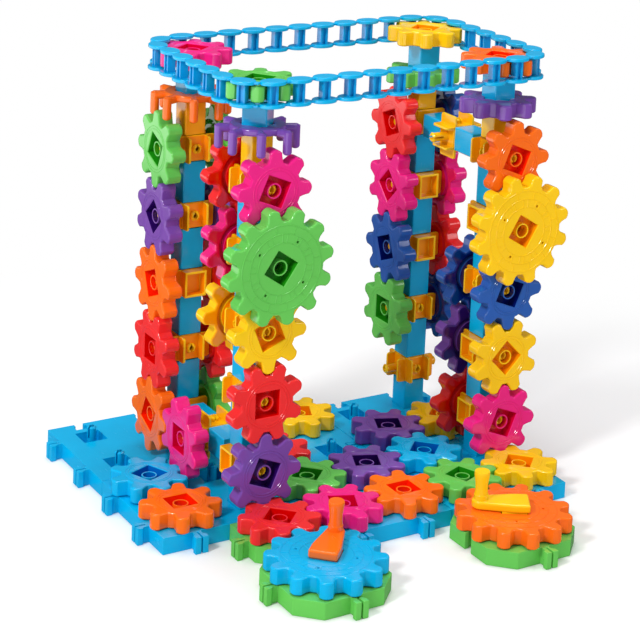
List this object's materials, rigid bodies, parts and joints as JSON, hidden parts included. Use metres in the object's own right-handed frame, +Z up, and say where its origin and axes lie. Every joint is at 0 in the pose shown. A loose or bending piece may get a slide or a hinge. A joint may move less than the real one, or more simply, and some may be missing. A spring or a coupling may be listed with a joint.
{
  "type": "crank gear toy",
  "caption": "Free-standing plastic gear building toy: base plates with meshing gears, square columns carrying gear trains, a link chain round their tops and hand cranks.",
  "frame": {"origin": "middle of the toy's footprint, on the surface that it stands on", "axes": "+Z up, +X to the right seen from the cranks, +Y to the back, away from the cranks"},
  "size_m": [0.2996, 0.3076, 0.295],
  "materials": {
    "sky": "glossy injection-moulded",
    "magenta": "glossy injection-moulded",
    "purple": "glossy injection-moulded",
    "green": "glossy injection-moulded",
    "yellow": "glossy injection-moulded",
    "orange": "glossy injection-moulded",
    "red": "glossy injection-moulded",
    "blue": "glossy injection-moulded"
  },
  "bodies": {
    "frame": {"base_plates": "sky", "frame_left": "sky", "frame_right": "sky", "chain": "sky"},
    "crank_left": {"crank_gear_left": "sky", "crank_handle_left": "orange"},
    "crank_right": {"crank_gear_right": "orange", "crank_handle_right": "yellow"},
    "base_gear_1": {"base_gear_1": "red"},
    "base_gear_2": {"base_gear_2": "magenta"},
    "base_gear_3": {"base_gear_3": "orange"},
    "base_gear_4": {"base_gear_4": "green"},
    "base_gear_5": {"base_gear_5": "yellow"},
    "base_gear_6": {"base_gear_6": "orange"},
    "base_gear_7": {"base_gear_7": "green"},
    "base_gear_8": {"base_gear_8": "purple"},
    "base_gear_9": {"base_gear_9": "sky"},
    "base_gear_10": {"base_gear_10": "sky"},
    "base_gear_11": {"base_gear_11": "red"},
    "base_gear_12": {"base_gear_12": "purple"},
    "base_gear_13": {"base_gear_13": "yellow"},
    "base_gear_14": {"base_gear_14": "yellow"},
    "top_back_left": {"top_back_left": "orange"},
    "top_front_left": {"top_front_left": "purple"},
    "top_back_right": {"top_back_right": "green"},
    "top_front_right": {"top_front_right": "purple"},
    "gear_back_left_left_1": {"gear_back_left_left_1": "green"},
    "gear_back_left_left_2": {"gear_back_left_left_2": "purple"},
    "gear_back_left_left_3": {"gear_back_left_left_3": "orange"},
    "gear_back_left_left_4": {"gear_back_left_left_4": "red"},
    "gear_back_left_left_5": {"gear_back_left_left_5": "orange"},
    "gear_back_left_right_1": {"gear_back_left_right_1": "green"},
    "gear_back_left_right_2": {"gear_back_left_right_2": "purple"},
    "gear_back_left_right_3": {"gear_back_left_right_3": "red"},
    "gear_back_left_right_4": {"gear_back_left_right_4": "red"},
    "gear_front_left_front_1": {"gear_front_left_front_1": "magenta"},
    "gear_front_left_front_2": {"gear_front_left_front_2": "green"},
    "gear_front_left_front_3": {"gear_front_left_front_3": "yellow"},
    "gear_front_left_front_4": {"gear_front_left_front_4": "red"},
    "gear_front_left_front_5": {"gear_front_left_front_5": "purple"},
    "gear_front_right_front_1": {"gear_front_right_front_1": "orange"},
    "gear_front_right_front_2": {"gear_front_right_front_2": "yellow"},
    "gear_front_right_front_3": {"gear_front_right_front_3": "blue"},
    "gear_front_right_front_4": {"gear_front_right_front_4": "yellow"},
    "gear_front_right_front_5": {"gear_front_right_front_5": "magenta"},
    "gear_back_right_left_1": {"gear_back_right_left_1": "red"},
    "gear_back_right_left_2": {"gear_back_right_left_2": "magenta"},
    "gear_back_right_left_3": {"gear_back_right_left_3": "blue"},
    "gear_back_right_left_4": {"gear_back_right_left_4": "green"},
    "gear_back_right_right_1": {"gear_back_right_right_1": "blue"},
    "gear_back_right_right_2": {"gear_back_right_right_2": "magenta"},
    "gear_back_right_right_3": {"gear_back_right_right_3": "red"},
    "gear_back_right_right_4": {"gear_back_right_right_4": "blue"},
    "gear_front_left_back_1": {"gear_front_left_back_1": "red"},
    "gear_front_left_back_2": {"gear_front_left_back_2": "magenta"},
    "gear_front_left_back_3": {"gear_front_left_back_3": "yellow"},
    "gear_front_right_back_3": {"gear_front_right_back_3": "blue"},
    "gear_front_right_back_4": {"gear_front_right_back_4": "purple"},
    "gear_front_right_back_5": {"gear_front_right_back_5": "red"},
    "gear_beam_left": {"gear_beam_left": "magenta"}
  },
  "joints": [
    {"name": "crank_left_turn", "type": "hinge", "parent": "frame", "child": "crank_left", "pos_m": [-0.07217, -0.1107, 0.015], "axis": [0, 0, 1], "continuous": true},
    {"name": "crank_right_turn", "type": "hinge", "parent": "frame", "child": "crank_right", "pos_m": [0.06583, -0.1107, 0.015], "axis": [0, 0, 1], "continuous": true},
    {"name": "base_gear_1_turn", "type": "hinge", "parent": "frame", "child": "base_gear_1", "pos_m": [-0.07217, -0.0532, 0.015], "axis": [0, 0, 1], "continuous": true},
    {"name": "base_gear_2_turn", "type": "hinge", "parent": "frame", "child": "base_gear_2", "pos_m": [-0.02617, -0.0532, 0.015], "axis": [0, 0, 1], "continuous": true},
    {"name": "base_gear_3_turn", "type": "hinge", "parent": "frame", "child": "base_gear_3", "pos_m": [0.01983, -0.0532, 0.015], "axis": [0, 0, 1], "continuous": true},
    {"name": "base_gear_4_turn", "type": "hinge", "parent": "frame", "child": "base_gear_4", "pos_m": [0.06583, -0.0532, 0.015], "axis": [0, 0, 1], "continuous": true},
    {"name": "base_gear_5_turn", "type": "hinge", "parent": "frame", "child": "base_gear_5", "pos_m": [0.11183, -0.0532, 0.015], "axis": [0, 0, 1], "continuous": true},
    {"name": "base_gear_6_turn", "type": "hinge", "parent": "frame", "child": "base_gear_6", "pos_m": [-0.11817, -0.0072, 0.015], "axis": [0, 0, 1], "continuous": true},
    {"name": "base_gear_7_turn", "type": "hinge", "parent": "frame", "child": "base_gear_7", "pos_m": [-0.02617, -0.0072, 0.015], "axis": [0, 0, 1], "continuous": true},
    {"name": "base_gear_8_turn", "type": "hinge", "parent": "frame", "child": "base_gear_8", "pos_m": [0.01983, -0.0072, 0.015], "axis": [0, 0, 1], "continuous": true},
    {"name": "base_gear_9_turn", "type": "hinge", "parent": "frame", "child": "base_gear_9", "pos_m": [0.06583, -0.0072, 0.015], "axis": [0, 0, 1], "continuous": true},
    {"name": "base_gear_10_turn", "type": "hinge", "parent": "frame", "child": "base_gear_10", "pos_m": [-0.11817, 0.0388, 0.015], "axis": [0, 0, 1], "continuous": true},
    {"name": "base_gear_11_turn", "type": "hinge", "parent": "frame", "child": "base_gear_11", "pos_m": [-0.02617, 0.0388, 0.015], "axis": [0, 0, 1], "continuous": true},
    {"name": "base_gear_12_turn", "type": "hinge", "parent": "frame", "child": "base_gear_12", "pos_m": [0.06583, 0.0388, 0.015], "axis": [0, 0, 1], "continuous": true},
    {"name": "base_gear_13_turn", "type": "hinge", "parent": "frame", "child": "base_gear_13", "pos_m": [0.11183, 0.0388, 0.015], "axis": [0, 0, 1], "continuous": true},
    {"name": "base_gear_14_turn", "type": "hinge", "parent": "frame", "child": "base_gear_14", "pos_m": [0.01983, 0.0848, 0.015], "axis": [0, 0, 1], "continuous": true},
    {"name": "top_back_left_turn", "type": "hinge", "parent": "frame", "child": "top_back_left", "pos_m": [-0.07217, 0.0848, 0.28], "axis": [0, 0, 1], "continuous": true},
    {"name": "top_front_left_turn", "type": "hinge", "parent": "frame", "child": "top_front_left", "pos_m": [-0.07217, -0.0072, 0.28], "axis": [0, 0, 1], "continuous": true},
    {"name": "top_back_right_turn", "type": "hinge", "parent": "frame", "child": "top_back_right", "pos_m": [0.11183, 0.0848, 0.28], "axis": [0, 0, 1], "continuous": true},
    {"name": "top_front_right_turn", "type": "hinge", "parent": "frame", "child": "top_front_right", "pos_m": [0.11183, -0.0072, 0.28], "axis": [0, 0, 1], "continuous": true},
    {"name": "gear_back_left_left_1_turn", "type": "hinge", "parent": "frame", "child": "gear_back_left_left_1", "pos_m": [-0.07217, 0.0848, 0.2248], "axis": [1, 0, 0], "continuous": true},
    {"name": "gear_back_left_left_2_turn", "type": "hinge", "parent": "frame", "child": "gear_back_left_left_2", "pos_m": [-0.07217, 0.0848, 0.1788], "axis": [1, 0, 0], "continuous": true},
    {"name": "gear_back_left_left_3_turn", "type": "hinge", "parent": "frame", "child": "gear_back_left_left_3", "pos_m": [-0.07217, 0.0848, 0.1328], "axis": [1, 0, 0], "continuous": true},
    {"name": "gear_back_left_left_4_turn", "type": "hinge", "parent": "frame", "child": "gear_back_left_left_4", "pos_m": [-0.07217, 0.0848, 0.0868], "axis": [1, 0, 0], "continuous": true},
    {"name": "gear_back_left_left_5_turn", "type": "hinge", "parent": "frame", "child": "gear_back_left_left_5", "pos_m": [-0.07217, 0.0848, 0.0408], "axis": [1, 0, 0], "continuous": true},
    {"name": "gear_back_left_right_1_turn", "type": "hinge", "parent": "frame", "child": "gear_back_left_right_1", "pos_m": [-0.07217, 0.0848, 0.2248], "axis": [1, 0, 0], "continuous": true},
    {"name": "gear_back_left_right_2_turn", "type": "hinge", "parent": "frame", "child": "gear_back_left_right_2", "pos_m": [-0.07217, 0.0848, 0.1788], "axis": [1, 0, 0], "continuous": true},
    {"name": "gear_back_left_right_3_turn", "type": "hinge", "parent": "frame", "child": "gear_back_left_right_3", "pos_m": [-0.07217, 0.0848, 0.1328], "axis": [1, 0, 0], "continuous": true},
    {"name": "gear_back_left_right_4_turn", "type": "hinge", "parent": "frame", "child": "gear_back_left_right_4", "pos_m": [-0.07217, 0.0848, 0.0868], "axis": [1, 0, 0], "continuous": true},
    {"name": "gear_front_left_front_1_turn", "type": "hinge", "parent": "frame", "child": "gear_front_left_front_1", "pos_m": [-0.07217, -0.0072, 0.2248], "axis": [0, 1, 0], "continuous": true},
    {"name": "gear_front_left_front_2_turn", "type": "hinge", "parent": "frame", "child": "gear_front_left_front_2", "pos_m": [-0.07217, -0.0072, 0.1788], "axis": [0, 1, 0], "continuous": true},
    {"name": "gear_front_left_front_3_turn", "type": "hinge", "parent": "frame", "child": "gear_front_left_front_3", "pos_m": [-0.07217, -0.0072, 0.1328], "axis": [0, 1, 0], "continuous": true},
    {"name": "gear_front_left_front_4_turn", "type": "hinge", "parent": "frame", "child": "gear_front_left_front_4", "pos_m": [-0.07217, -0.0072, 0.0868], "axis": [0, 1, 0], "continuous": true},
    {"name": "gear_front_left_front_5_turn", "type": "hinge", "parent": "frame", "child": "gear_front_left_front_5", "pos_m": [-0.07217, -0.0072, 0.0408], "axis": [0, 1, 0], "continuous": true},
    {"name": "gear_front_right_front_1_turn", "type": "hinge", "parent": "frame", "child": "gear_front_right_front_1", "pos_m": [0.11183, -0.0072, 0.2248], "axis": [0, 1, 0], "continuous": true},
    {"name": "gear_front_right_front_2_turn", "type": "hinge", "parent": "frame", "child": "gear_front_right_front_2", "pos_m": [0.11183, -0.0072, 0.1788], "axis": [0, 1, 0], "continuous": true},
    {"name": "gear_front_right_front_3_turn", "type": "hinge", "parent": "frame", "child": "gear_front_right_front_3", "pos_m": [0.11183, -0.0072, 0.1328], "axis": [0, 1, 0], "continuous": true},
    {"name": "gear_front_right_front_4_turn", "type": "hinge", "parent": "frame", "child": "gear_front_right_front_4", "pos_m": [0.11183, -0.0072, 0.0868], "axis": [0, 1, 0], "continuous": true},
    {"name": "gear_front_right_front_5_turn", "type": "hinge", "parent": "frame", "child": "gear_front_right_front_5", "pos_m": [0.11183, -0.0072, 0.0408], "axis": [0, 1, 0], "continuous": true},
    {"name": "gear_back_right_left_1_turn", "type": "hinge", "parent": "frame", "child": "gear_back_right_left_1", "pos_m": [0.11183, 0.0848, 0.2248], "axis": [1, 0, 0], "continuous": true},
    {"name": "gear_back_right_left_2_turn", "type": "hinge", "parent": "frame", "child": "gear_back_right_left_2", "pos_m": [0.11183, 0.0848, 0.1788], "axis": [1, 0, 0], "continuous": true},
    {"name": "gear_back_right_left_3_turn", "type": "hinge", "parent": "frame", "child": "gear_back_right_left_3", "pos_m": [0.11183, 0.0848, 0.1328], "axis": [1, 0, 0], "continuous": true},
    {"name": "gear_back_right_left_4_turn", "type": "hinge", "parent": "frame", "child": "gear_back_right_left_4", "pos_m": [0.11183, 0.0848, 0.0868], "axis": [1, 0, 0], "continuous": true},
    {"name": "gear_back_right_right_1_turn", "type": "hinge", "parent": "frame", "child": "gear_back_right_right_1", "pos_m": [0.11183, 0.0848, 0.2248], "axis": [1, 0, 0], "continuous": true},
    {"name": "gear_back_right_right_2_turn", "type": "hinge", "parent": "frame", "child": "gear_back_right_right_2", "pos_m": [0.11183, 0.0848, 0.1788], "axis": [1, 0, 0], "continuous": true},
    {"name": "gear_back_right_right_3_turn", "type": "hinge", "parent": "frame", "child": "gear_back_right_right_3", "pos_m": [0.11183, 0.0848, 0.1328], "axis": [1, 0, 0], "continuous": true},
    {"name": "gear_back_right_right_4_turn", "type": "hinge", "parent": "frame", "child": "gear_back_right_right_4", "pos_m": [0.11183, 0.0848, 0.0868], "axis": [1, 0, 0], "continuous": true},
    {"name": "gear_front_left_back_1_turn", "type": "hinge", "parent": "frame", "child": "gear_front_left_back_1", "pos_m": [-0.07217, -0.0072, 0.2248], "axis": [0, 1, 0], "continuous": true},
    {"name": "gear_front_left_back_2_turn", "type": "hinge", "parent": "frame", "child": "gear_front_left_back_2", "pos_m": [-0.07217, -0.0072, 0.1788], "axis": [0, 1, 0], "continuous": true},
    {"name": "gear_front_left_back_3_turn", "type": "hinge", "parent": "frame", "child": "gear_front_left_back_3", "pos_m": [-0.07217, -0.0072, 0.1328], "axis": [0, 1, 0], "continuous": true},
    {"name": "gear_front_right_back_3_turn", "type": "hinge", "parent": "frame", "child": "gear_front_right_back_3", "pos_m": [0.11183, -0.0072, 0.1328], "axis": [0, 1, 0], "continuous": true},
    {"name": "gear_front_right_back_4_turn", "type": "hinge", "parent": "frame", "child": "gear_front_right_back_4", "pos_m": [0.11183, -0.0072, 0.0868], "axis": [0, 1, 0], "continuous": true},
    {"name": "gear_front_right_back_5_turn", "type": "hinge", "parent": "frame", "child": "gear_front_right_back_5", "pos_m": [0.11183, -0.0072, 0.0408], "axis": [0, 1, 0], "continuous": true},
    {"name": "gear_beam_left_turn", "type": "hinge", "parent": "frame", "child": "gear_beam_left", "pos_m": [-0.07217, 0.0388, 0.0408], "axis": [1, 0, 0], "continuous": true}
  ],
  "couplings": [
    {"joint": "crank_right_turn", "follows": "crank_left_turn", "ratio": -1},
    {"joint": "base_gear_1_turn", "follows": "crank_left_turn", "ratio": -1.5},
    {"joint": "base_gear_2_turn", "follows": "crank_left_turn", "ratio": 1.5},
    {"joint": "base_gear_3_turn", "follows": "crank_left_turn", "ratio": -1.5},
    {"joint": "base_gear_4_turn", "follows": "crank_left_turn", "ratio": 1.5},
    {"joint": "base_gear_5_turn", "follows": "crank_left_turn", "ratio": -1.5},
    {"joint": "base_gear_6_turn", "follows": "crank_left_turn", "ratio": -1.5},
    {"joint": "base_gear_7_turn", "follows": "crank_left_turn", "ratio": -1.5},
    {"joint": "base_gear_8_turn", "follows": "crank_left_turn", "ratio": 1.5},
    {"joint": "base_gear_9_turn", "follows": "crank_left_turn", "ratio": -1.5},
    {"joint": "base_gear_10_turn", "follows": "crank_left_turn", "ratio": 1.5},
    {"joint": "base_gear_11_turn", "follows": "crank_left_turn", "ratio": 1.5},
    {"joint": "base_gear_12_turn", "follows": "crank_left_turn", "ratio": 1.5},
    {"joint": "base_gear_13_turn", "follows": "crank_left_turn", "ratio": -1.5},
    {"joint": "top_back_left_turn", "follows": "crank_left_turn", "ratio": -1.5},
    {"joint": "top_front_left_turn", "follows": "crank_left_turn", "ratio": -1.5},
    {"joint": "top_back_right_turn", "follows": "crank_left_turn", "ratio": -1.5},
    {"joint": "top_front_right_turn", "follows": "crank_left_turn", "ratio": -1.5},
    {"joint": "gear_back_left_left_1_turn", "follows": "crank_left_turn", "ratio": -1.5},
    {"joint": "gear_back_left_left_2_turn", "follows": "crank_left_turn", "ratio": 1.5},
    {"joint": "gear_back_left_left_3_turn", "follows": "crank_left_turn", "ratio": -1.5},
    {"joint": "gear_back_left_left_4_turn", "follows": "crank_left_turn", "ratio": 1.5},
    {"joint": "gear_back_left_left_5_turn", "follows": "crank_left_turn", "ratio": -1.5},
    {"joint": "gear_back_left_right_1_turn", "follows": "crank_left_turn", "ratio": 1.5},
    {"joint": "gear_back_left_right_2_turn", "follows": "crank_left_turn", "ratio": -1.5},
    {"joint": "gear_back_left_right_3_turn", "follows": "crank_left_turn", "ratio": 1.5},
    {"joint": "gear_back_left_right_4_turn", "follows": "crank_left_turn", "ratio": -1.5},
    {"joint": "gear_front_left_front_1_turn", "follows": "crank_left_turn", "ratio": -1.5},
    {"joint": "gear_front_left_front_2_turn", "follows": "crank_left_turn", "ratio": 1.5},
    {"joint": "gear_front_left_front_3_turn", "follows": "crank_left_turn", "ratio": -1.5},
    {"joint": "gear_front_left_front_4_turn", "follows": "crank_left_turn", "ratio": 1.5},
    {"joint": "gear_front_left_front_5_turn", "follows": "crank_left_turn", "ratio": -1.5},
    {"joint": "gear_front_right_front_1_turn", "follows": "crank_left_turn", "ratio": -1.5},
    {"joint": "gear_front_right_front_2_turn", "follows": "crank_left_turn", "ratio": 1.5},
    {"joint": "gear_front_right_front_3_turn", "follows": "crank_left_turn", "ratio": -1.5},
    {"joint": "gear_front_right_front_4_turn", "follows": "crank_left_turn", "ratio": 1.5},
    {"joint": "gear_front_right_front_5_turn", "follows": "crank_left_turn", "ratio": -1.5},
    {"joint": "gear_back_right_left_1_turn", "follows": "crank_left_turn", "ratio": -1.5},
    {"joint": "gear_back_right_left_2_turn", "follows": "crank_left_turn", "ratio": 1.5},
    {"joint": "gear_back_right_left_3_turn", "follows": "crank_left_turn", "ratio": -1.5},
    {"joint": "gear_back_right_left_4_turn", "follows": "crank_left_turn", "ratio": 1.5},
    {"joint": "gear_back_right_right_1_turn", "follows": "crank_left_turn", "ratio": 1.5},
    {"joint": "gear_back_right_right_2_turn", "follows": "crank_left_turn", "ratio": -1.5},
    {"joint": "gear_back_right_right_3_turn", "follows": "crank_left_turn", "ratio": 1.5},
    {"joint": "gear_back_right_right_4_turn", "follows": "crank_left_turn", "ratio": -1.5},
    {"joint": "gear_front_left_back_1_turn", "follows": "crank_left_turn", "ratio": 1.5},
    {"joint": "gear_front_left_back_2_turn", "follows": "crank_left_turn", "ratio": -1.5},
    {"joint": "gear_front_left_back_3_turn", "follows": "crank_left_turn", "ratio": 1.5},
    {"joint": "gear_front_right_back_3_turn", "follows": "crank_left_turn", "ratio": 1.5},
    {"joint": "gear_front_right_back_4_turn", "follows": "crank_left_turn", "ratio": -1.5},
    {"joint": "gear_front_right_back_5_turn", "follows": "crank_left_turn", "ratio": 1.5},
    {"joint": "gear_beam_left_turn", "follows": "crank_left_turn", "ratio": 1.5}
  ]
}
